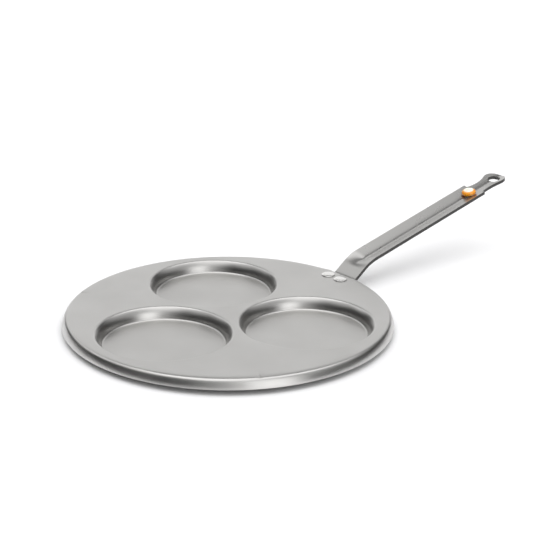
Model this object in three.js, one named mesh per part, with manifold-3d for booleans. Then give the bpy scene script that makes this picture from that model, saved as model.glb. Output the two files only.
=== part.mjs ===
// Blini pan: a pressed steel plate with three drawn wells and a riveted strip handle.
// Millimetres, +Z up. The pan stands on its three wells at z = 0 and the handle points along +X.
import * as THREE from 'three';
import { mergeVertices, toCreasedNormals } from 'three/addons/utils/BufferGeometryUtils.js';
import Module from 'manifold-3d';

const wasm = await Module();
wasm.setup();

const degrees = THREE.MathUtils.degToRad;

// Plate: one disc of steel sheet with a turned-down rim
const plateSheet = 2.5;
const rimInsideBend = 1;
const rimMargin = 11.9;
const rimLift = 4.6;

// Wells: drawn down out of the plate, evenly round its middle, with the handle between two of them
const wellCount = 3;
const wellMouthRadius = 56.7;
const wellWeb = 1.6;
const wellDepth = 9.7;
const wellWallRise = 5.7;
const wellDraft = degrees(24);
const mouthInsideBend = 2.5;

// Rivets: two, side by side across the handle
const rivetShank = 2.6;
const rivetHeadRadius = 5.8;
const rivetHeadHeight = 1.2;
const rivetHeadGap = 3.2;
const rivetTailRadius = 4.4;
const rivetTailHeight = 1.7;
const rivetEdge = 4.9;
const rivetSetback = 9.8;

// Handle: one bent strip, flat at the rivets and a shallow gutter from the bend onwards
const handleSheet = 3;
const tabLength = 24;
const tabCorner = 6;
const rootAngle = degrees(35.3);
const rootLength = 22.8;
const rootBend = 8;
const gripAngle = degrees(12.3);
const gripBend = 42;
const gutterDepth = 3;
const gutterRounding = 3;
const gutterLeadIn = 4;

// Shoulders, neck and hanging loop, counted along the grip from its foot
const shoulderReach = 152;
const shoulderStep = 2.8;
const neckWidth = 15.2;
const neckFromShoulder = 12.5;
const loopFromShoulder = 27.6;
const loopHoleRadius = 5.8;
const loopRing = 4.5;
const loopJoin = degrees(65);

// Button pressed into the handle just before its shoulders
const buttonFromShoulder = 7.8;
const buttonRadius = 6.5;
const buttonHeight = 4.2;
const buttonLip = 1.2;
const buttonStem = 2.6;
const buttonBeadRadius = 4.2;
const buttonBeadHeight = 1.8;

// Clearances
const notchGap = 1.2;
const chordFlat = 0.75;
const shankGap = 0.2;
const seatGap = 0.2;
const stemGap = 0.3;

// Sizes, heights and places that follow from those above
const wellCircle = (2 * wellMouthRadius + wellWeb) / (2 * Math.sin(Math.PI / wellCount));
const discRadius = wellCircle + wellMouthRadius + rimMargin;
const rimBend = rimInsideBend + plateSheet;
const mouthFillet = mouthInsideBend + plateSheet;
const floorFillet = (wellDepth - wellWallRise) / (1 - Math.sin(wellDraft)) - mouthFillet;
const floorTop = plateSheet;
const plateTop = floorTop + wellDepth;
const plateUnder = plateTop - plateSheet;
const chordX = discRadius - rimBend - chordFlat;
const rivetSpacing = 2 * rivetHeadRadius + rivetHeadGap;
const rivetX = chordX - rivetSetback;
const handleWidth = rivetSpacing + 2 * rivetEdge;
const halfWidth = handleWidth / 2;
const neckReach = shoulderReach + neckFromShoulder;
const loopReach = shoulderReach + loopFromShoulder;
const loopRadius = loopHoleRadius + loopRing;
const buttonReach = shoulderReach - buttonFromShoulder;
const cutMargin = 2;
const tall = 200;

// Closed solid from a three.js geometry, ready for boolean work
function solid(geometry) {
  const bare = geometry.clone();
  bare.deleteAttribute('normal');
  bare.deleteAttribute('uv');
  const merged = mergeVertices(bare, 1e-5);
  const corners = merged.index.array;
  const kept = [];
  for (let i = 0; i < corners.length; i += 3) {
    const [a, b, c] = [corners[i], corners[i + 1], corners[i + 2]];
    if (a !== b && b !== c && c !== a) kept.push(a, b, c);
  }
  const mesh = new wasm.Mesh({
    numProp: 3,
    vertProperties: new Float32Array(merged.attributes.position.array),
    triVerts: new Uint32Array(kept),
  });
  mesh.merge();
  return new wasm.Manifold(mesh);
}

function shapeOf(body) {
  const mesh = body.getMesh();
  const geometry = new THREE.BufferGeometry();
  geometry.setAttribute('position', new THREE.BufferAttribute(mesh.vertProperties, 3));
  geometry.setIndex(new THREE.BufferAttribute(mesh.triVerts, 1));
  return geometry;
}

// Revolves a closed (radius, height) outline about the upright axis
function revolve(outline, segments) {
  const geometry = new THREE.LatheGeometry(outline, segments);
  geometry.rotateX(Math.PI / 2);
  return geometry;
}

// Points of an arc in the (radius, height) plane, angles counted from the radius axis
function arc(x, y, radius, from, to, steps) {
  const points = [];
  for (let i = 0; i <= steps; i += 1) {
    const angle = from + ((to - from) * i) / steps;
    points.push(new THREE.Vector2(x + radius * Math.cos(angle), y + radius * Math.sin(angle)));
  }
  return points;
}

const point = (x, y) => new THREE.Vector2(x, y);

// Prism with its outline in the XY plane, centred on z = 0
function prism(shape, height, curveSegments = 12) {
  const geometry = new THREE.ExtrudeGeometry(shape, { depth: height, bevelEnabled: false, curveSegments });
  geometry.translate(0, 0, -height / 2);
  return geometry;
}

function pin(x, y, radius) {
  const geometry = new THREE.CylinderGeometry(radius, radius, tall, 32);
  geometry.rotateX(Math.PI / 2);
  geometry.translate(x, y, 0);
  return geometry;
}

const steel = (color, roughness) => new THREE.MeshStandardMaterial({ color, roughness, metalness: 1 });
const plateSteel = () => steel('#b4b3b0', 0.42);
const handleSteel = () => steel('#9f9e9a', 0.4);
const rivetSteel = () => steel('#d6d6d4', 0.22);
const amberSilicone = () => new THREE.MeshStandardMaterial({ color: '#e79a1c', roughness: 0.28, metalness: 0 });

// Plate

function discOutline() {
  const bendCentre = point(discRadius - rimBend, plateTop - rimBend);
  const insideBend = rimBend - plateSheet;
  return [
    point(0, plateUnder),
    ...arc(bendCentre.x, bendCentre.y, insideBend, Math.PI / 2, 0, 3),
    point(discRadius - plateSheet, rimLift),
    point(discRadius, rimLift),
    ...arc(bendCentre.x, bendCentre.y, rimBend, 0, Math.PI / 2, 6),
    point(0, plateTop),
  ];
}

// One face of the drawn well: offset 0 is the face seen from above, offset plateSheet the one below
function wellFace(offset) {
  const wallRun = (mouthFillet + floorFillet) * Math.cos(wellDraft) + wellWallRise * Math.tan(wellDraft);
  const floorRadius = wellMouthRadius - wallRun;
  const floorArc = arc(floorRadius, floorTop + floorFillet, floorFillet + offset, -Math.PI / 2, -wellDraft, 3);
  const mouthArc = arc(
    wellMouthRadius,
    plateTop - mouthFillet,
    mouthFillet - offset,
    Math.PI - wellDraft,
    Math.PI / 2,
    6,
  );
  return [point(0, floorTop - offset), ...floorArc, ...mouthArc];
}

function wellBody(offset, top) {
  return solid(revolve([...wellFace(offset), point(wellMouthRadius, top), point(0, top)], 48));
}

function panPlate() {
  let plate = solid(revolve(discOutline(), 96));
  const outside = wellBody(plateSheet, plateUnder + plateSheet / 2);
  const inside = wellBody(0, plateTop + cutMargin);
  for (let i = 0; i < wellCount; i += 1) {
    const turn = ((2 * i + 1) * Math.PI) / wellCount;
    const place = [wellCircle * Math.cos(turn), wellCircle * Math.sin(turn), 0];
    plate = plate.add(outside.translate(place)).subtract(inside.translate(place));
  }
  return plate.subtract(rimNotch()).subtract(rivetHoles(rivetShank + shankGap));
}

function rimNotch() {
  const reach = discRadius - chordX + cutMargin;
  const notch = new THREE.BoxGeometry(reach, handleWidth + 2 * notchGap, tall);
  notch.translate(chordX + reach / 2, 0, 0);
  return solid(notch);
}

function rivetHoles(radius) {
  const [right, left] = [-1, 1].map((side) => solid(pin(rivetX, (side * rivetSpacing) / 2, radius)));
  return right.add(left);
}

// Handle

// Straight runs joined by bends of given radius, in the (x, z) plane of the handle's upper edges
function bentPath(corners, bends) {
  const curves = [];
  let last = corners[0];
  bends.forEach((radius, i) => {
    const corner = corners[i + 1];
    const before = corner.clone().sub(corners[i]).normalize();
    const after = corners[i + 2].clone().sub(corner).normalize();
    const turn = Math.atan2(before.cross(after), before.dot(after));
    const side = Math.sign(turn);
    const start = corner.clone().addScaledVector(before, -radius * Math.tan(Math.abs(turn) / 2));
    const centre = point(start.x - side * radius * before.y, start.y + side * radius * before.x);
    const from = before.angle() - (side * Math.PI) / 2;
    const bend = new THREE.EllipseCurve(centre.x, centre.y, radius, radius, from, from + turn, side < 0);
    curves.push(new THREE.LineCurve(last, start), bend);
    last = bend.getPoint(1);
  });
  curves.push(new THREE.LineCurve(last, corners[corners.length - 1]));
  return curves;
}

const along = (start, angle, length) =>
  point(start.x + length * Math.cos(angle), start.y + length * Math.sin(angle));

// Corners of the handle's side view before its bends are rounded
const rootFoot = point(chordX + rootBend * Math.tan(rootAngle / 2), plateUnder);
const tabEnd = point(chordX - tabLength, plateUnder);
const gripFoot = along(rootFoot, rootAngle, rootLength);
const gripEnd = along(gripFoot, gripAngle, loopReach + loopRadius + cutMargin);

const smooth = (value, from, to) => THREE.MathUtils.smoothstep(value, from, to);

// Height of the gutter's section over its lowest line, from 0 in the middle to 1 at the edges
function gutterSection(across) {
  const curve = (y) => Math.hypot(y, gutterRounding) - gutterRounding;
  return curve(across) / curve(halfWidth);
}

// How far the strip lies above or below the line of its edges
function gutterOffset(distance, across) {
  const bendHalf = gripBend * Math.tan((rootAngle - gripAngle) / 2);
  const bendStart = rootLength - bendHalf - gutterLeadIn;
  const sunk = smooth(distance, bendStart, rootLength + bendHalf);
  return gutterDepth * sunk * (gutterSection(across) - 1);
}

// Stations along the path: point, direction and distance from the foot of the root
function handleStations() {
  const corners = [tabEnd, rootFoot, gripFoot, gripEnd];
  const [tab, rootArc, root, gripArc, grip] = bentPath(corners, [rootBend, gripBend]);
  const shares = (count) => Array.from({ length: count }, (_, i) => i / count);
  const runs = [
    [tab, [0]],
    [rootArc, shares(5)],
    [root, shares(6)],
    [gripArc, shares(10)],
    [grip, [0, 0.5, 1]],
  ];
  const bendStart = tab.getLength() + rootArc.getLength() / 2;
  let travelled = -bendStart;
  const stations = [];
  for (const [curve, steps] of runs) {
    for (const t of steps) {
      const tangent = curve.getTangent(t);
      stations.push({ place: curve.getPoint(t), tangent, distance: travelled + t * curve.getLength() });
    }
    travelled += curve.getLength();
  }
  return stations;
}

// The strip: a flat blank of the handle's width laid along the stations and pressed into its gutter
function handleStrip() {
  const stations = handleStations();
  const steps = stations.length - 1;
  const blank = new THREE.BoxGeometry(steps, handleWidth, handleSheet, steps, 14, 1);
  const corner = blank.attributes.position;
  for (let i = 0; i < corner.count; i += 1) {
    const { place, tangent, distance } = stations[Math.round(corner.getX(i) + steps / 2)];
    const across = corner.getY(i);
    const lift = gutterOffset(distance, across) + corner.getZ(i) - handleSheet / 2;
    corner.setXYZ(i, place.x - lift * tangent.y, across, place.y + lift * tangent.x);
  }
  return solid(blank);
}

// Places a geometry drawn in the plane of the grip, where x counts from the grip's foot
function onGrip(geometry) {
  geometry.rotateY(-gripAngle);
  geometry.translate(gripFoot.x, 0, gripFoot.y);
  return geometry;
}

// Outline of the neck and hanging loop, from the shoulders to the tip
function loopOutline() {
  const wide = halfWidth + cutMargin;
  const waist = neckWidth / 2;
  const ledge = halfWidth - shoulderStep;
  const meet = loopReach - loopRadius * Math.cos(loopJoin);
  const flank = loopRadius * Math.sin(loopJoin);
  const shape = new THREE.Shape();
  shape.moveTo(0, -wide);
  shape.lineTo(shoulderReach, -wide);
  shape.lineTo(shoulderReach, -ledge);
  shape.quadraticCurveTo(shoulderReach + (neckReach - shoulderReach) / 3, -waist, neckReach, -waist);
  shape.quadraticCurveTo((neckReach + meet) / 2, -waist, meet, -flank);
  shape.absarc(loopReach, 0, loopRadius, Math.PI + loopJoin, 3 * Math.PI - loopJoin, false);
  shape.quadraticCurveTo((neckReach + meet) / 2, waist, neckReach, waist);
  shape.quadraticCurveTo(shoulderReach + (neckReach - shoulderReach) / 3, waist, shoulderReach, ledge);
  shape.lineTo(shoulderReach, wide);
  shape.lineTo(0, wide);
  return shape;
}

// Everything past the shoulders that the neck and loop leave out
function gripTrimming() {
  const reach = loopReach + loopRadius + 4 * cutMargin;
  const around = new THREE.Shape();
  const wide = halfWidth + 2 * cutMargin;
  around.moveTo(shoulderReach / 2, -wide);
  around.lineTo(reach, -wide);
  around.lineTo(reach, wide);
  around.lineTo(shoulderReach / 2, wide);
  const kept = solid(onGrip(prism(loopOutline(), tall / 2, 16)));
  return solid(onGrip(prism(around, tall / 4))).subtract(kept);
}

function tabCorners() {
  const square = new THREE.BoxGeometry(2 * tabCorner, handleWidth + 2 * cutMargin, tall);
  square.translate(tabEnd.x, 0, 0);
  const shape = new THREE.Shape();
  const [far, wide] = [tabEnd.x + 3 * tabCorner, halfWidth + cutMargin];
  shape.moveTo(far, -wide);
  shape.lineTo(far, wide);
  shape.lineTo(tabEnd.x + tabCorner, wide);
  shape.lineTo(tabEnd.x + tabCorner, halfWidth);
  shape.absarc(tabEnd.x + tabCorner, halfWidth - tabCorner, tabCorner, Math.PI / 2, Math.PI, false);
  shape.absarc(tabEnd.x + tabCorner, tabCorner - halfWidth, tabCorner, Math.PI, Math.PI * 1.5, false);
  shape.lineTo(tabEnd.x + tabCorner, -wide);
  return solid(square).subtract(solid(prism(shape, 2 * tall, 6)));
}

function handle() {
  const holes = [pin(loopReach, 0, loopHoleRadius), pin(buttonReach, 0, buttonStem + stemGap)];
  let strip = handleStrip().subtract(tabCorners()).subtract(rivetHoles(rivetShank + shankGap));
  strip = strip.subtract(gripTrimming());
  for (const hole of holes) strip = strip.subtract(solid(onGrip(hole)));
  return strip;
}

// Rivets: a domed head on the plate, a shank through plate and tab, a formed tail below

function rivet(side) {
  const tabUnder = plateUnder - handleSheet;
  const cap = (radius, height) => (radius * radius + height * height) / (2 * height);
  const dome = (radius, height, base, up) => {
    const ball = cap(radius, height);
    const spread = Math.asin(radius / ball);
    const centre = base + up * (height - ball);
    return arc(0, centre, ball, up * (Math.PI / 2 - spread), (up * Math.PI) / 2, 5);
  };
  const outline = [
    ...dome(rivetTailRadius, rivetTailHeight, tabUnder, -1).reverse(),
    point(rivetShank, tabUnder),
    point(rivetShank, plateTop),
    ...dome(rivetHeadRadius, rivetHeadHeight, plateTop, 1),
  ];
  outline[0].x = 0;
  outline[outline.length - 1].x = 0;
  return revolve(outline, 24).translate(rivetX, (side * rivetSpacing) / 2, 0);
}

// Button: a domed disc on the handle with a stem and a bead that holds it from below

function handleButton() {
  const seat = gutterDepth * (gutterSection(buttonRadius) - 1) + seatGap;
  const under = -gutterDepth - handleSheet - seatGap;
  const crown = buttonHeight - buttonLip;
  const bead = arc(0, under, buttonBeadRadius, 0, -Math.PI / 2, 4).reverse();
  for (const p of bead) p.y = under + ((p.y - under) * buttonBeadHeight) / buttonBeadRadius;
  const dome = arc(0, 0, buttonRadius, 0, Math.PI / 2, 7);
  for (const p of dome) p.y = seat + buttonLip + (p.y * crown) / buttonRadius;
  const outline = [...bead, point(buttonStem, under), point(buttonStem, seat), point(buttonRadius, seat), ...dome];
  outline[0].x = 0;
  outline[outline.length - 1].x = 0;
  return onGrip(revolve(outline, 32).translate(buttonReach, 0, 0));
}

// Assembly, with the origin under the middle of the whole pan

function part(name, geometry, material) {
  const mesh = new THREE.Mesh(toCreasedNormals(geometry, degrees(35)), material);
  mesh.name = name;
  return mesh;
}

const pan = new THREE.Group();
pan.add(part('pan_plate', shapeOf(panPlate()), plateSteel()));
pan.add(part('handle', shapeOf(handle()), handleSteel()));
pan.add(part('rivet_left', rivet(1), rivetSteel()));
pan.add(part('rivet_right', rivet(-1), rivetSteel()));
pan.add(part('handle_button', handleButton(), amberSilicone()));

const middle = new THREE.Box3().setFromObject(pan).getCenter(new THREE.Vector3());
for (const mesh of pan.children) mesh.position.x = -middle.x;

export default pan;
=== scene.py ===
# Blini pan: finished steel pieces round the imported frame, on a pale floor in soft studio light
import bpy
import math
import numpy as np
from mathutils import Matrix, Vector


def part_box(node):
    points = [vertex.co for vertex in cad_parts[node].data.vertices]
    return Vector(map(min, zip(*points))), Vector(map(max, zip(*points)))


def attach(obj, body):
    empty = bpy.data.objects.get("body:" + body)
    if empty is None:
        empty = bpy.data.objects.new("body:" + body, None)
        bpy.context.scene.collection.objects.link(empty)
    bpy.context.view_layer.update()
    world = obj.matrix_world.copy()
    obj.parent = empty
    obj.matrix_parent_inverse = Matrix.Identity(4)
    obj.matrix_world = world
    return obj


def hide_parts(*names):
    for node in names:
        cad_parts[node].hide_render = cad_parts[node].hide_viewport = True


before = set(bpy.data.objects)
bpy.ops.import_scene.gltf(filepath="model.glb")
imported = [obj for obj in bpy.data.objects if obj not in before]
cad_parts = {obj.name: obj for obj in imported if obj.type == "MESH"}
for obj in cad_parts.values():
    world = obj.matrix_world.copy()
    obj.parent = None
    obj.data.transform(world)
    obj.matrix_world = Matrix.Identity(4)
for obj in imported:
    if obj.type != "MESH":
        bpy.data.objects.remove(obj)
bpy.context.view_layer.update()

mm = 0.001  # the shapes below are in millimetres from the middle of the disc, the meshes in metres
plateLow, plateHigh = (np.array(corner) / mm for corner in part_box("pan_plate"))
handleLow, handleHigh = (np.array(corner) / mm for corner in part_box("handle"))
discRadius = (plateHigh[1] - plateLow[1]) / 2
discX = plateLow[0] + discRadius
plateTop = plateHigh[2]
halfWidth = handleHigh[1]
print(f"frame: disc {2 * discRadius:.1f} mm across, top at {plateTop:.1f} mm, handle {2 * halfWidth:.1f} mm wide")


# Meshes

weldCell, weldShift = 0.002, 0.37  # points that fall in the same small cell are one, with the cells off round numbers


def gridFaces(rows, columns, closed=False):
    # quads between neighbouring points of a grid numbered row by row, the last column joined to the first if closed
    j, i = np.meshgrid(np.arange(columns if closed else columns - 1), np.arange(rows - 1))
    k = (j + 1) % columns
    quads = [i * columns + j, (i + 1) * columns + j, (i + 1) * columns + k, i * columns + k]
    return np.stack(quads, -1).reshape(-1, 4)


def weld(patches):
    # joins grids of (upper points, lower points, quads) wherever their upper points coincide
    counts = [len(upper) for upper, lower, quads in patches]
    starts = np.cumsum([0] + counts[:-1])
    upper = np.concatenate([patch[0] for patch in patches])
    lower = np.concatenate([patch[1] for patch in patches])
    quads = np.concatenate([patch[2] + start for patch, start in zip(patches, starts)])
    keys = np.round(upper / weldCell + weldShift).astype(np.int64)
    _, first, number = np.unique(keys, axis=0, return_index=True, return_inverse=True)
    return upper[first], lower[first], number.reshape(-1)[quads]


def splitFaces(quads):
    # quads that a pole has drawn into triangles, and the rest
    first = quads[:, 0] == quads[:, 3]
    last = quads[:, 1] == quads[:, 2]
    triangles = np.concatenate([quads[first][:, [0, 1, 2]], quads[last][:, [0, 1, 3]]])
    return triangles, quads[~first & ~last]


def sheetBody(upper, lower, quads):
    # upper and lower face of a sheet, with a wall along every edge that only one face has
    triangles, quads = splitFaces(quads)
    pairs = [face[:, [i, (i + 1) % face.shape[1]]] for face in (triangles, quads) for i in range(face.shape[1])]
    edges = np.concatenate(pairs)
    count = len(upper)
    there = edges[:, 0] * count + edges[:, 1]
    back = edges[:, 1] * count + edges[:, 0]
    rim = edges[~np.isin(there, back)]
    wall = np.stack([rim[:, 1], rim[:, 0], rim[:, 0] + count, rim[:, 1] + count], -1)
    faces = [triangles, quads, triangles[:, ::-1] + count, quads[:, ::-1] + count, wall]
    return np.concatenate([upper, lower]), faces, len(wall)


def addPiece(name, points, faces, material, shadedEdgeFaces=0, shades=()):
    # one mesh at the origin of the row frame, riding on the pan and standing for its CAD node
    corners = (points + [discX, 0, 0]) * mm
    mesh = bpy.data.meshes.new(name)
    mesh.from_pydata(corners, [], [face for group in faces for face in group.tolist()])
    mesh.polygons.foreach_set("use_smooth", np.ones(len(mesh.polygons), bool))
    # the sheet's edge walls, the last faces, are marked to take the painted shade along the cut edges
    cut = np.zeros(len(mesh.polygons), np.float32)
    cut[len(cut) - shadedEdgeFaces:] = 1
    mesh.attributes.new("cutEdgeShade", "FLOAT", "FACE").data.foreach_set("value", cut)
    for key, values in shades:
        mesh.attributes.new(key, "FLOAT", "POINT").data.foreach_set("value", values.astype(np.float32))
    mesh.materials.append(material)
    piece = bpy.data.objects.new(name, mesh)
    bpy.context.scene.collection.objects.link(piece)
    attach(piece, "root")
    print(f"{name}: {len(mesh.vertices)} points, {len(mesh.polygons)} faces")
    return piece


def softenEdges(piece, width):
    # breaks the sharp cut edges with a small radius
    bevel = piece.modifiers.new("softEdges", "BEVEL")
    bevel.width = width * mm
    bevel.segments = 2
    bevel.limit_method = "ANGLE"
    bevel.angle_limit = math.radians(50)
    bevel.harden_normals = True


def arc(centre, radius, start, end, steps):
    # points and outward normals of an arc in the (radius, height) plane, angles in degrees
    turn = np.radians(np.linspace(start, end, steps + 1))
    normals = np.stack([np.cos(turn), np.sin(turn)], -1)
    return np.asarray(centre) + radius * normals, normals


# Materials

def linear(code):
    # sRGB hex to a linear colour
    channels = np.array([int(code[i:i + 2], 16) for i in (1, 3, 5)]) / 255
    low, high = channels / 12.92, ((channels + 0.055) / 1.055) ** 2.4
    return (*np.where(channels <= 0.04045, low, high), 1.0)


def addNode(tree, kind, links=(), values=(), **settings):
    # one node with its settings, its input values by name or number, and links from other nodes' outputs
    node = tree.nodes.new(kind)
    for key, value in settings.items():
        setattr(node, key, value)
    for key, value in values:
        node.inputs[key].default_value = value
    for key, output in links:
        tree.links.new(output, node.inputs[key])
    return node


def newMaterial(name, **values):
    material = bpy.data.materials.new(name)
    material.use_nodes = True
    tree = material.node_tree
    shader = tree.nodes["Principled BSDF"]
    for key, value in values.items():
        shader.inputs[key.replace("_", " ")].default_value = value
    return material, tree, shader


# Bare cold-rolled carbon steel under a thin clear film: an even satin grey, clouded a little by the rolls
plateFinish = dict(colour="#cdccca", cloudColour="#c8c7c5", roughness=0.34, spread=0.03, cloud=38.0, grain=0.45)


def rolledSteel(name, finish, edgeShadeColour):
    material, tree, shader = newMaterial(name, Metallic=1.0)
    place = addNode(tree, "ShaderNodeTexCoord").outputs["Object"]
    cloud = addNode(tree, "ShaderNodeTexNoise", [("Vector", place)],
                    [("Scale", 1 / (finish["cloud"] * mm)), ("Detail", 4.0), ("Roughness", 0.55)])
    grain = addNode(tree, "ShaderNodeTexNoise", [("Vector", place)],
                    [("Scale", 1 / (finish["grain"] * mm)), ("Detail", 2.0)])
    tint = addNode(tree, "ShaderNodeMix", [(0, cloud.outputs["Fac"])],
                   [(6, linear(finish["colour"])), (7, linear(finish["cloudColour"]))], data_type="RGBA")
    # faces marked as cut edges take a darker colour: painted shade along the sheared edges
    cutEdgeShade = addNode(tree, "ShaderNodeAttribute", attribute_name="cutEdgeShade")
    edgeShaded = addNode(tree, "ShaderNodeMix", [(0, cutEdgeShade.outputs["Fac"]), (6, tint.outputs[2])],
                    [(7, linear(edgeShadeColour))], data_type="RGBA")
    low = finish["roughness"] - finish["spread"]
    high = finish["roughness"] + finish["spread"]
    satin = addNode(tree, "ShaderNodeMapRange", [(0, cloud.outputs["Fac"])],
                    [("From Min", 0.3), ("From Max", 0.7), ("To Min", low), ("To Max", high)])
    bump = addNode(tree, "ShaderNodeBump", [("Height", grain.outputs["Fac"])],
                   [("Strength", 0.05), ("Distance", 0.02 * mm)])
    tree.links.new(edgeShaded.outputs[2], shader.inputs["Base Color"])
    tree.links.new(satin.outputs[0], shader.inputs["Roughness"])
    tree.links.new(bump.outputs["Normal"], shader.inputs["Normal"])
    return material


# the plate's cut edges get a darker grey as painted shade
plateSteel = rolledSteel("rolledSteelPlate", plateFinish, "#94938f")

# The handle's strip is the same steel, rolled a little smoother: greyer, with painted shade darkening its sheared edges
handleFinish = dict(colour="#c4c3c1", cloudColour="#bdbcba", roughness=0.28, spread=0.03, cloud=24.0, grain=0.5)
handleSteel = rolledSteel("rolledSteelStrip", handleFinish, "#4c4b4a")

# Upset and polished steel of the rivets: bright, with soft small dents from the set
rivetSteel, rivetTree, rivetShader = newMaterial("polishedRivetSteel", Metallic=1.0, Roughness=0.2,
                                                 Base_Color=linear("#f2f1ef"))
rivetPlace = addNode(rivetTree, "ShaderNodeTexCoord").outputs["Object"]
rivetDents = addNode(rivetTree, "ShaderNodeTexNoise", [("Vector", rivetPlace)], [("Scale", 1 / (2.5 * mm))])
rivetBump = addNode(rivetTree, "ShaderNodeBump", [("Height", rivetDents.outputs["Fac"])],
                    [("Strength", 0.2), ("Distance", 0.1 * mm)])
rivetTree.links.new(rivetBump.outputs["Normal"], rivetShader.inputs["Normal"])

# Cast amber resin: deep orange-yellow that lets some light in, under a glossy skin, with a painted highlight of pale
# cream over the middle of the dome
amberResin, amberTree, amberShader = newMaterial(
    "castAmberResin", Base_Color=linear("#f2a01a"), Roughness=0.16, IOR=1.5,
    Subsurface_Weight=0.25, Subsurface_Scale=2 * mm, Coat_Weight=0.6, Coat_Roughness=0.05)
amberPlace = addNode(amberTree, "ShaderNodeTexCoord").outputs["Object"]
amberSwirl = addNode(amberTree, "ShaderNodeTexNoise", [("Vector", amberPlace)],
                     [("Scale", 1 / (6 * mm)), ("Detail", 3.0)])
amberTint = addNode(amberTree, "ShaderNodeMix", [(0, amberSwirl.outputs["Fac"])],
                    [(6, linear("#f5a91f")), (7, linear("#e98d10"))], data_type="RGBA")
# the dome's middle is painted pale cream and fades to amber towards the rim: a painted highlight
amberAxis = addNode(amberTree, "ShaderNodeAttribute", attribute_name="fromAxis")
amberHighlightShare = addNode(amberTree, "ShaderNodeMapRange", [(0, amberAxis.outputs["Fac"])],
                    [("From Min", 0.55), ("From Max", 0.78), ("To Min", 1.0), ("To Max", 0.0)],
                    interpolation_type="SMOOTHSTEP")
amberWithPaintedHighlight = addNode(amberTree, "ShaderNodeMix", [(0, amberHighlightShare.outputs[0]), (6, amberTint.outputs[2])],
                    [(7, linear("#fff8ea"))], data_type="RGBA")
amberTree.links.new(amberWithPaintedHighlight.outputs[2], amberShader.inputs["Base Color"])
print("materials: plate steel, handle steel, rivet steel, amber resin")


# Plate

plate = dict(
    sheet=2.5,
    rimReach=3.5,
    rimLift=4.6,
    rimMargin=11.9,
    shoulderBend=3.8,
    shoulderTurn=57.0,
    shoulderFade=12.0,
    skirtTurn=80.0,
    wells=3,
    mouthRadius=56.3,
    wellDepth=9.7,
    lipBend=3.4,
    lipTurn=45.0,
    wallTurn=76.0,
    floorBend=2.0,
    lipMargin=0.3,
    crowdFrom=5.0,
    crowdOver=15.0,
    chordFlat=0.75,
    chordRound=1.0,
    chordFade=2.0,
    notchGap=1.2,
)
flatRadius = discRadius - plate["rimReach"]
shoulderTurn, skirtTurn = math.radians(plate["shoulderTurn"]), math.radians(plate["skirtTurn"])
skirtBend = plateTop - plate["rimLift"] - plate["shoulderBend"] * (1 - math.cos(shoulderTurn))
skirtBend /= math.cos(shoulderTurn) - math.cos(skirtTurn)
shoulderRun = plate["shoulderBend"] * math.sin(shoulderTurn)
shoulderRun += skirtBend * (math.sin(skirtTurn) - math.sin(shoulderTurn))
shoulderStart = discRadius - shoulderRun  # where the plate's top starts to fall to the rim
chordX = flatRadius - plate["chordFlat"]
notchHalf = halfWidth + plate["notchGap"]
wellCircle = discRadius - plate["rimMargin"] - plate["mouthRadius"]
sectorHalf = math.pi / plate["wells"]


def wellProfile():
    # the well's upper face from its middle outwards: flat floor, tight corner, wall that eases off upwards, rounded lip
    lipTurn, wallTurn = math.radians(plate["lipTurn"]), math.radians(plate["wallTurn"])
    lip, foot = plate["lipBend"], plate["floorBend"]
    wall = plate["wellDepth"] - lip * (1 - math.cos(lipTurn)) - foot * (1 - math.cos(wallTurn))
    wall /= math.cos(lipTurn) - math.cos(wallTurn)
    lipEnd = plate["mouthRadius"] - lip * math.sin(lipTurn)
    wallMiddle = (lipEnd + wall * math.sin(lipTurn), plateTop - lip + (lip - wall) * math.cos(lipTurn))
    wallEnd = wallMiddle[0] - wall * math.sin(wallTurn)
    floorRadius = wallEnd - foot * math.sin(wallTurn)
    floorTop = plateTop - plate["wellDepth"]
    shares = np.array([0, 0.3, 0.6, 0.85, 0.99])
    floor = np.stack([shares * floorRadius, np.full(5, floorTop)], -1)
    footArc, footOut = arc((floorRadius, floorTop + foot), foot, -90, plate["wallTurn"] - 90, 9)
    wallArc, wallOut = arc(wallMiddle, wall, plate["wallTurn"] + 90, plate["lipTurn"] + 90, 12)
    lipArc, lipOut = arc((plate["mouthRadius"], plateTop - lip), lip, plate["lipTurn"] + 90, 90, 10)
    line = np.concatenate([floor, footArc, wallArc[1:], lipArc[1:]])
    normals = np.concatenate([np.tile([0.0, 1.0], (5, 1)), -footOut, wallOut[1:], lipOut[1:]])
    return line, normals


def sectorSides(notched):
    # where one side of a sector meets the disc's edge: the corner on the dividing line and the notch's corner
    e = np.array([math.cos(sectorHalf), math.sin(sectorHalf)])
    f = np.array([math.sin(sectorHalf), -math.cos(sectorHalf)])
    across = math.asin(notchHalf / flatRadius)
    corner = (chordX if notched else flatRadius) * e
    shoulder = chordX * e + notchHalf * f if notched else flatRadius * (math.cos(across) * e + math.sin(across) * f)
    return [math.atan2(p[1], p[0] - wellCircle) for p in (corner, shoulder)]


def edgeFall(points):
    # fall and lean of the plate's top near its edge: an arc towards the rim away from the notch, and in the notch
    # a quarter circle over the cut edge, which fades out at the notch's corners
    x, y = points[:, 0], np.abs(points[:, 1])
    away = np.where(x > 0, np.clip((y - notchHalf) / plate["shoulderFade"], 0, 1), 1)
    reach = np.clip(np.hypot(x, y) - shoulderStart, 0, flatRadius - shoulderStart)
    bend = plate["shoulderBend"]
    fall = away * (bend - np.sqrt(bend ** 2 - reach ** 2))
    cut = plate["chordRound"]
    inside = np.clip(cut - (chordX - x), 0, cut)
    fade = np.clip((notchHalf - y) / plate["chordFade"], 0, 1)
    return fall + fade * (cut - np.sqrt(cut ** 2 - inside ** 2)), away * reach / bend


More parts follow.
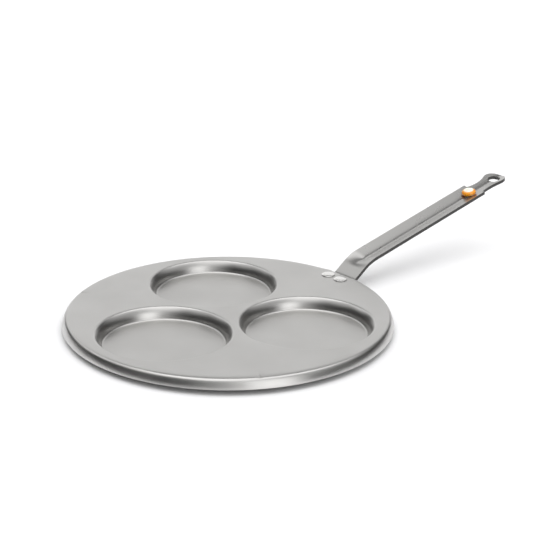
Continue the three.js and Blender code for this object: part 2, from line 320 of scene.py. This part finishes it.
def wellSector(number):
    # a third of the plate: rays from the well's middle, with distance d to the disc's edge, the notch or the next third
    turn = (2 * number + 1) * sectorHalf
    notchRight, notchLeft = number == 0, number == plate["wells"] - 1
    cornerRight, shoulderRight = sectorSides(notchRight)
    cornerLeft, shoulderLeft = sectorSides(notchLeft)
    stretches = [(-shoulderRight, shoulderLeft, 96), (shoulderLeft, cornerLeft, 6), (cornerLeft, math.pi, 48),
                 (math.pi, 2 * math.pi - cornerRight, 48), (-cornerRight, -shoulderRight, 6)]
    alpha = np.concatenate([np.linspace(a, b, n, endpoint=False) for a, b, n in stretches])
    kind = np.concatenate([np.full(n, k) for k, (a, b, n) in enumerate(stretches)])
    circle = -wellCircle * np.cos(alpha) + np.sqrt(flatRadius ** 2 - (wellCircle * np.sin(alpha)) ** 2)
    side = np.where(np.sin(alpha) >= 0, 1, -1)
    divide = wellCircle * math.sin(sectorHalf) / np.cos(side * alpha - sectorHalf - math.pi / 2)
    chord = (chordX - wellCircle * math.cos(sectorHalf)) / np.cos(side * alpha - sectorHalf)
    onChord = ((kind == 1) & notchLeft) | ((kind == 4) & notchRight)
    onChord[0] = notchRight
    d = np.where((kind == 2) | (kind == 3), divide, np.where(onChord, chord, circle))
    line, normals = wellProfile()
    start = plate["mouthRadius"] + plate["lipMargin"]
    even = np.linspace(0, 1, 11)[:, None]
    close = np.array([0, 0.1, 0.3, 0.6, 0.85, 0.965, 0.982, 0.989, 0.994, 0.998, 1])[:, None]
    crowd = np.clip((d - start - plate["crowdFrom"]) / plate["crowdOver"], 0, 1)  # at the edge, where there is room
    shares = even + (close - even) * crowd
    radius = np.concatenate([np.tile(line[:, :1], (1, len(d))), start + shares * (d - start)])
    height = np.concatenate([line[:, 1], np.full(len(shares), plateTop)])[:, None] + 0 * radius
    outward = np.concatenate([normals[:, 0], np.zeros(len(shares))])[:, None]
    upward = np.concatenate([normals[:, 1], np.ones(len(shares))])[:, None] + 0 * radius
    normal = np.stack([outward * np.cos(alpha), outward * np.sin(alpha), upward], -1)
    place = np.stack([wellCircle + radius * np.cos(alpha), radius * np.sin(alpha), height], -1)
    spin = np.array(Matrix.Rotation(turn, 3, "Z"))
    upper = (place @ spin.T).reshape(-1, 3)
    lower = upper - plate["sheet"] * (normal @ spin.T).reshape(-1, 3)
    edge = (place[-1] @ spin.T)[~((kind == 2) | (kind == 3) | onChord)]
    fall, lean = edgeFall(upper)
    upper[:, 2] -= fall
    lower[:, 2] -= np.where(lean > 0, fall, 0)
    lower[:, :2] *= (1 - plate["sheet"] * lean / flatRadius)[:, None]
    return (upper, lower, gridFaces(*radius.shape, closed=True)), edge


def rimPatch(edges):
    # the turned-down rim: the edge points of all sectors in order round the disc, carried over the bend and down
    points = np.concatenate(edges)
    notchTurn = math.atan2(notchHalf, chordX)
    turns = np.arctan2(points[:, 1], points[:, 0]) % (2 * math.pi)
    phi = np.sort(np.concatenate([turns, [notchTurn, 2 * math.pi - notchTurn]]))
    phi = phi[np.append(True, np.diff(phi) > 1e-6)]
    bend = plate["shoulderBend"]
    lean = math.degrees(math.acos((flatRadius - shoulderStart) / bend))
    shoulder, shoulderOut = arc((shoulderStart, plateTop - bend), bend, lean, 90 - plate["shoulderTurn"], 9)
    skirtMiddle = (discRadius - skirtBend * math.sin(skirtTurn), plate["rimLift"] - skirtBend * math.cos(skirtTurn))
    skirt, skirtOut = arc(skirtMiddle, skirtBend, 90 - plate["shoulderTurn"], 90 - plate["skirtTurn"], 6)
    line = np.concatenate([shoulder, skirt[1:]])
    normals = np.concatenate([shoulderOut, skirtOut[1:]])

    def carried(profile):
        # near the notch the columns lean over to its straight sides
        radius = profile[:, :1] + 0 * phi
        radius[0, [0, -1]] = math.hypot(chordX, notchHalf) if profile is line else radius[0, [0, -1]]
        lean = np.arcsin(notchHalf / profile[:, :1]) - math.asin(notchHalf / flatRadius)
        fade = np.clip(1 - (phi - notchTurn) / 0.2, 0, 1) - np.clip(1 - (2 * math.pi - notchTurn - phi) / 0.2, 0, 1)
        turn = phi + lean * fade
        return np.stack([radius * np.cos(turn), radius * np.sin(turn), profile[:, 1:] + 0 * radius], -1).reshape(-1, 3)

    upper, lower = carried(line), carried(line - plate["sheet"] * normals)
    upper[:len(phi), 2] = plateTop - edgeFall(upper[:len(phi)])[0]
    return upper, lower, gridFaces(len(line), len(phi))


sectors, edges = zip(*[wellSector(i) for i in range(plate["wells"])])
platePoints, plateFaces, plateShadedEdges = sheetBody(*weld([*sectors, rimPatch(edges)]))
panPlate = addPiece("panPlate", platePoints, plateFaces, plateSteel, plateShadedEdges)
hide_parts("pan_plate")
softenEdges(panPlate, 0.3)


# Handle

handleShape = dict(
    sheet=3.0,
    tabLength=24.0,
    tabCorner=6.0,
    rootAngle=35.3,
    rootLength=22.8,
    rootBend=8.0,
    gripAngle=12.3,
    gripBend=42.0,
    gutterDepth=3.4,
    loopDepth=3.0,
    gutterRounding=1.6,
    loopRounding=3.0,
    loopBlend=30.0,
    gutterStart=12.0,
    gutterFull=27.0,
    shoulderReach=152.0,
    shoulderStep=2.8,
    neckWidth=15.2,
    neckFromShoulder=12.5,
    loopFromShoulder=27.6,
    holeRadius=5.8,
    loopRing=4.5,
    loopJoin=65.0,
)
h = handleShape
rootTurn, gripTurn = math.radians(h["rootAngle"]), math.radians(h["gripAngle"])
bendHalf = h["gripBend"] * math.tan((rootTurn - gripTurn) / 2)
bendStarts = np.cumsum([h["tabLength"], h["rootBend"] * rootTurn,
                        h["rootLength"] - h["rootBend"] * math.tan(rootTurn / 2) - bendHalf,
                        h["gripBend"] * (rootTurn - gripTurn)])
gripStart = bendStarts[3] - bendHalf  # where the grip's straight line would leave the root's
rootStart = (bendStarts[0] + bendStarts[1]) / 2
loopReach = h["shoulderReach"] + h["loopFromShoulder"]
loopRadius = h["holeRadius"] + h["loopRing"]

# the strip's line in side view: its heading integrated along its length
pathLength = np.linspace(0, gripStart + loopReach + loopRadius + 1, 6001)
pathHeading = np.interp(pathLength, bendStarts, [0, rootTurn, rootTurn, gripTurn])
pathStep = np.diff(pathLength)
pathMiddle = (pathHeading[1:] + pathHeading[:-1]) / 2
pathX = chordX - h["tabLength"] + np.concatenate([[0], np.cumsum(pathStep * np.cos(pathMiddle))])
pathZ = plateTop - plate["sheet"] + np.concatenate([[0], np.cumsum(pathStep * np.sin(pathMiddle))])


def smooth(value, start, end):
    share = np.clip((value - start) / (end - start), 0, 1)
    return share * share * (3 - 2 * share)


def gutterOffset(along, across):
    # depth of the pressed gutter under its edges: a rounded V that sets in at the bend and eases to the loop
    fromRoot = along - rootStart
    shoulder = gripStart + h["shoulderReach"]
    blend = [shoulder - h["loopBlend"], shoulder]
    rounding = np.interp(along, blend, [h["gutterRounding"], h["loopRounding"]])
    depth = np.interp(along, blend, [h["gutterDepth"], h["loopDepth"]])
    section = (np.hypot(across, rounding) - rounding) / (np.hypot(halfWidth, rounding) - rounding)
    sunk = smooth(fromRoot, h["gutterStart"], h["gutterFull"])
    return depth * sunk * (section - 1)


def onStrip(along, across, drop=0.0):
    # places points given by length along the strip and distance across it, drop below its upper face
    heading = np.interp(along, bendStarts, [0, rootTurn, rootTurn, gripTurn])
    lift = gutterOffset(along, across) - drop
    x = np.interp(along, pathLength, pathX) - lift * np.sin(heading)
    z = np.interp(along, pathLength, pathZ) + lift * np.cos(heading)
    return np.stack([x, across + 0 * along, z], -1).reshape(-1, 3)


def stripPatch(along, across, closed=False):
    return onStrip(along, across), onStrip(along, across, h["sheet"]), gridFaces(*along.shape, closed=closed)


def handlePatches():
    # main strip, neck and loop as three grids that share their borders
    ledge = halfWidth - h["shoulderStep"]
    inner = np.linspace(-ledge, ledge, 29)
    outer = np.array([ledge + 0.3 * h["shoulderStep"], ledge + 0.7 * h["shoulderStep"], halfWidth - 0.35, halfWidth])
    columns = np.concatenate([-outer[::-1], inner, outer])
    corner = h["tabCorner"] * (1 - np.cos(np.linspace(0, math.pi / 2, 11)))
    shoulder = gripStart + h["shoulderReach"]
    rampStart = rootStart + h["gutterStart"]
    rampEnd = rootStart + h["rootLength"] + bendHalf
    rows = np.concatenate([corner, np.linspace(corner[-1], bendStarts[0], 4)[1:],
                           np.linspace(bendStarts[0], bendStarts[1], 9)[1:],
                           np.linspace(bendStarts[1], rampStart, 3)[1:],
                           np.linspace(rampStart, rampEnd, 49)[1:],
                           np.linspace(rampEnd, shoulder, 25)[1:]])[:, None]
    short = np.clip(h["tabCorner"] - rows, 0, None)
    width = halfWidth - h["tabCorner"] + np.sqrt(h["tabCorner"] ** 2 - short ** 2)
    main = stripPatch(rows + 0 * columns, columns / halfWidth * width)

    waist = h["neckWidth"] / 2
    neckReach = h["shoulderReach"] + h["neckFromShoulder"]
    join = math.radians(h["loopJoin"])
    meet, flank = loopReach - loopRadius * math.cos(join), loopRadius * math.sin(join)
    u = np.linspace(0, 1, 17)[:, None]
    pull = h["shoulderReach"] + h["neckFromShoulder"] / 3
    firstReach = (1 - u) ** 2 * h["shoulderReach"] + 2 * u * (1 - u) * pull + u ** 2 * neckReach
    firstWidth = (1 - u) ** 2 * ledge + (1 - (1 - u) ** 2) * waist
    lastReach = neckReach + u * (meet - neckReach)
    lastWidth = (1 - u ** 2) * waist + u ** 2 * flank
    reach = np.concatenate([firstReach, lastReach[1:]])
    width = np.concatenate([firstWidth, lastWidth[1:]])
    neck = stripPatch(gripStart + reach + 0 * inner, inner / ledge * width)

    fromNeck = np.arctan2(-inner / ledge * flank, meet - loopReach) % (2 * math.pi)
    ringAngle = np.concatenate([fromNeck, np.linspace(math.pi + join, 3 * math.pi - join, 73)[1:-1]])
    ringOuter = np.concatenate([(meet - loopReach) / np.cos(fromNeck), np.full(71, loopRadius)])
    shares = np.array([0, 0.07, 0.25, 0.5, 0.75, 0.93, 1])[:, None]
    ring = h["holeRadius"] + shares * (ringOuter - h["holeRadius"])
    loop = stripPatch(gripStart + loopReach + ring * np.cos(ringAngle), ring * np.sin(ringAngle), closed=True)
    return [main, neck, loop]


handlePoints, handleFaces, handleShadedEdges = sheetBody(*weld(handlePatches()))
handle = addPiece("stripHandle", handlePoints, handleFaces, handleSteel, handleShadedEdges)
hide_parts("handle")
softenEdges(handle, 0.45)


# Rivets and button

def turned(line, segments):
    # a (radius, height) outline from pole to pole turned about the upright axis
    angle = np.linspace(0, 2 * math.pi, segments, endpoint=False)
    radius, height = line[:, :1], line[:, 1:]
    points = np.stack([radius * np.cos(angle), radius * np.sin(angle), height + 0 * angle], -1).reshape(-1, 3)
    upper, _, quads = weld([(points, points, gridFaces(len(line), segments, closed=True)[:, ::-1])])
    return upper, list(splitFaces(quads))


def dome(radius, height, base, up, power, steps):
    # quarter of a superellipse from the rim of a head to its pole: power 2 is an ellipse, more is squarer
    turn = np.linspace(0, math.pi / 2, steps + 1)
    r = radius * np.cos(turn) ** (2 / power)
    return np.stack([r, base + up * height * np.sin(turn) ** (2 / power)], -1)


rivets = dict(shank=2.6, headRadius=5.8, headHeight=1.2, headGap=0.35, headSeat=4.9, flare=0.2, seatGap=0.02,
              tailRadius=4.4, tailHeight=1.7, spacing=14.8, setback=9.8)


def rivetOutline():
    tabUnder = plateTop - plate["sheet"] - h["sheet"]
    tail = dome(rivets["tailRadius"], rivets["tailHeight"], tabUnder, -1, 2.2, 14)[::-1]
    rim = plateTop + rivets["headGap"]
    head = dome(rivets["headRadius"], rivets["headHeight"] - rivets["headGap"], rim, 1, 2.2, 20)
    seat = plateTop + rivets["seatGap"]
    shank = [[rivets["shank"], tabUnder], [rivets["shank"], seat], [rivets["headSeat"], seat]]
    line = np.concatenate([tail, shank, [[rivets["headSeat"] + rivets["flare"], rim]], head])
    line[[0, -1], 0] = 0
    return line


for side, name, node in ((1, "rivetLeft", "rivet_left"), (-1, "rivetRight", "rivet_right")):
    points, faces = turned(rivetOutline(), 64)
    place = np.array([chordX - rivets["setback"], side * rivets["spacing"] / 2, 0])
    rivet = addPiece(name, points + place, faces, rivetSteel)
    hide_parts(node)
    softenEdges(rivet, 0.1)

button = dict(reach=144.2, radius=6.5, height=4.2, lip=1.2, stem=2.6, beadRadius=4.2, beadHeight=1.8, gap=0.2,
              chamfer=0.2)


def buttonOutline():
    # heights over the line of the grip's edges
    along = np.array([gripStart + button["reach"]])
    seat = gutterOffset(along, np.array([button["radius"]]))[0] + button["gap"]
    under = gutterOffset(along, np.array([0.0]))[0] - h["sheet"] - button["gap"]
    bead = dome(button["beadRadius"], button["beadHeight"], under, -1, 2, 14)[::-1]
    crown = dome(button["radius"], button["height"] - button["lip"], seat + button["lip"], 1, 2.1, 24)
    lip = np.array([[button["stem"], under], [button["stem"], seat], [button["radius"] - button["chamfer"], seat],
                    [button["radius"], seat + button["chamfer"]]])
    line = np.concatenate([bead, lip, crown])
    line[[0, -1], 0] = 0
    return line


buttonPoints, buttonFaces = turned(buttonOutline(), 72)
tilt = np.array(Matrix.Rotation(-gripTurn, 3, "Y"))
buttonAlong = gripStart + button["reach"]
buttonPlace = [np.interp(buttonAlong, pathLength, pathX), 0, np.interp(buttonAlong, pathLength, pathZ)]
# distance from the button's axis as a share of its radius, which places the painted highlight
fromAxis = np.hypot(buttonPoints[:, 0], buttonPoints[:, 1]) / button["radius"]
amberButton = addPiece("amberButton", buttonPoints @ tilt.T + buttonPlace, buttonFaces, amberResin,
                       shades=[("fromAxis", fromAxis)])
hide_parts("handle_button")
softenEdges(amberButton, 0.12)


# Floor, light and camera

stage = dict(floorSize=6.0, floorColour="#f4f4f5", fillEnergy=1.4, fillAngle=150.0)
floorMesh = bpy.data.meshes.new("studioFloor")
floorCorners = [(x * stage["floorSize"], y * stage["floorSize"], 0) for x, y in ((-1, -1), (1, -1), (1, 1), (-1, 1))]
floorMesh.from_pydata(floorCorners, [], [(0, 1, 2, 3)])
floorPaint, floorTree, floorShader = newMaterial("mattWhiteSweep", Roughness=0.9, Specular_IOR_Level=0.1,
                                                 Base_Color=linear(stage["floorColour"]))
floorMesh.materials.append(floorPaint)
floor = bpy.data.objects.new("studioFloor", floorMesh)
bpy.context.scene.collection.objects.link(floor)

view = dict(azimuth=40.7, elevation=22.15, distance=1222.0, focus=1500.0, frame=560.0, discPixel=(228.0, 311.4))
viewTurn, viewLift = math.radians(view["azimuth"]), math.radians(view["elevation"])
target = Vector((discX, 0, plateTop)) * mm
back = Vector((-math.sin(viewTurn) * math.cos(viewLift), -math.cos(viewTurn) * math.cos(viewLift), math.sin(viewLift)))
lens = bpy.data.cameras.new("photoCamera")
lens.sensor_width = 36
lens.lens = lens.sensor_width * view["focus"] / view["frame"]
lens.shift_x = (view["frame"] / 2 - view["discPixel"][0]) / view["frame"]
lens.shift_y = (view["discPixel"][1] - view["frame"] / 2) / view["frame"]
camera = bpy.data.objects.new("photoCamera", lens)
camera.location = target + back * view["distance"] * mm
camera.rotation_euler = (-back).to_track_quat("-Z", "Y").to_euler()
bpy.context.scene.collection.objects.link(camera)
bpy.context.scene.camera = camera

# the studio as a world of soft panels seen from the pan: azimuth to the right of straight away from the camera,
# half-width and softness of the sides, lower and upper edge and their softness, all in degrees, and brightness
panels = [
    dict(azimuth=0, half=200, soft=5, low=58, high=120, edge=7, glow=1.35),  # overhead
    dict(azimuth=0, half=200, soft=5, low=76, high=120, edge=7, glow=0.35),  # its middle
    dict(azimuth=-64, half=32, soft=10, low=58, high=74, edge=7, glow=0.6),  # overhead at the back left
    dict(azimuth=0, half=30, soft=10, low=-20, high=39, edge=5, glow=0.94),  # white backdrop
    dict(azimuth=58, half=24, soft=10, low=42, high=66, edge=6, glow=0.8),  # back right
    dict(azimuth=-50, half=20, soft=10, low=26, high=46, edge=6, glow=0.9),  # back left
    dict(azimuth=-85, half=42, soft=10, low=36, high=58, edge=6, glow=0.6),  # left
    dict(azimuth=150, half=17, soft=10, low=-10, high=42, edge=6, glow=1.8),  # window at the front right
    dict(azimuth=95, half=40, soft=10, low=26, high=58, edge=6, glow=0.45),  # right
    dict(azimuth=180, half=36, soft=14, low=42, high=62, edge=8, glow=0.8),  # front
    dict(azimuth=182, half=14, soft=12, low=-10, high=42, edge=8, glow=0.4),  # front, lower down
]
world = bpy.data.worlds.new("studio")
world.use_nodes = True
tree = world.node_tree
ray = addNode(tree, "ShaderNodeTexCoord").outputs["Generated"]
height = addNode(tree, "ShaderNodeSeparateXYZ", [(0, ray)]).outputs["Z"]
rise = addNode(tree, "ShaderNodeMath", [(0, height)], operation="ARCSINE").outputs[0]
total = addNode(tree, "ShaderNodeValue").outputs[0]
total.default_value = 0
for panel in panels:
    half, soft, low, high, edge = (math.radians(panel[key]) for key in ("half", "soft", "low", "high", "edge"))
    turn = math.pi / 2 - viewTurn - math.radians(panel["azimuth"])
    axes = [(math.cos(turn), math.sin(turn), 0), (math.sin(turn), -math.cos(turn), 0)]
    toward, aside = (addNode(tree, "ShaderNodeVectorMath", [(0, ray)], [(1, axis)],
                             operation="DOT_PRODUCT").outputs["Value"] for axis in axes)
    swing = addNode(tree, "ShaderNodeMath", [(0, aside), (1, toward)], operation="ARCTAN2").outputs[0]
    swing = addNode(tree, "ShaderNodeMath", [(0, swing)], operation="ABSOLUTE").outputs[0]
    shine = addNode(tree, "ShaderNodeValue").outputs[0]
    shine.default_value = panel["glow"]
    for angle, dark, full in ((swing, half + soft, half - soft), (rise, low - edge, low + edge),
                              (rise, high + edge, high - edge)):
        share = addNode(tree, "ShaderNodeMapRange", [(0, angle)], [("From Min", dark), ("From Max", full)],
                        interpolation_type="SMOOTHSTEP").outputs[0]
        shine = addNode(tree, "ShaderNodeMath", [(0, share), (1, shine)], operation="MULTIPLY").outputs[0]
    total = addNode(tree, "ShaderNodeMath", [(0, shine), (1, total)], operation="ADD").outputs[0]
tree.links.new(total, tree.nodes["Background"].inputs["Color"])
bpy.context.scene.world = world

# a wide soft fill from above that lights the floor but isn't mirrored in the steel
fillLight = bpy.data.lights.new("floorFill", "SUN")
fillLight.energy = stage["fillEnergy"]
fillLight.angle = math.radians(stage["fillAngle"])
fill = bpy.data.objects.new("floorFill", fillLight)
fill.visible_glossy = False
bpy.context.scene.collection.objects.link(fill)
bpy.context.scene.view_settings.view_transform = "Standard"
print("stage: floor, camera and", len(panels), "light panels")
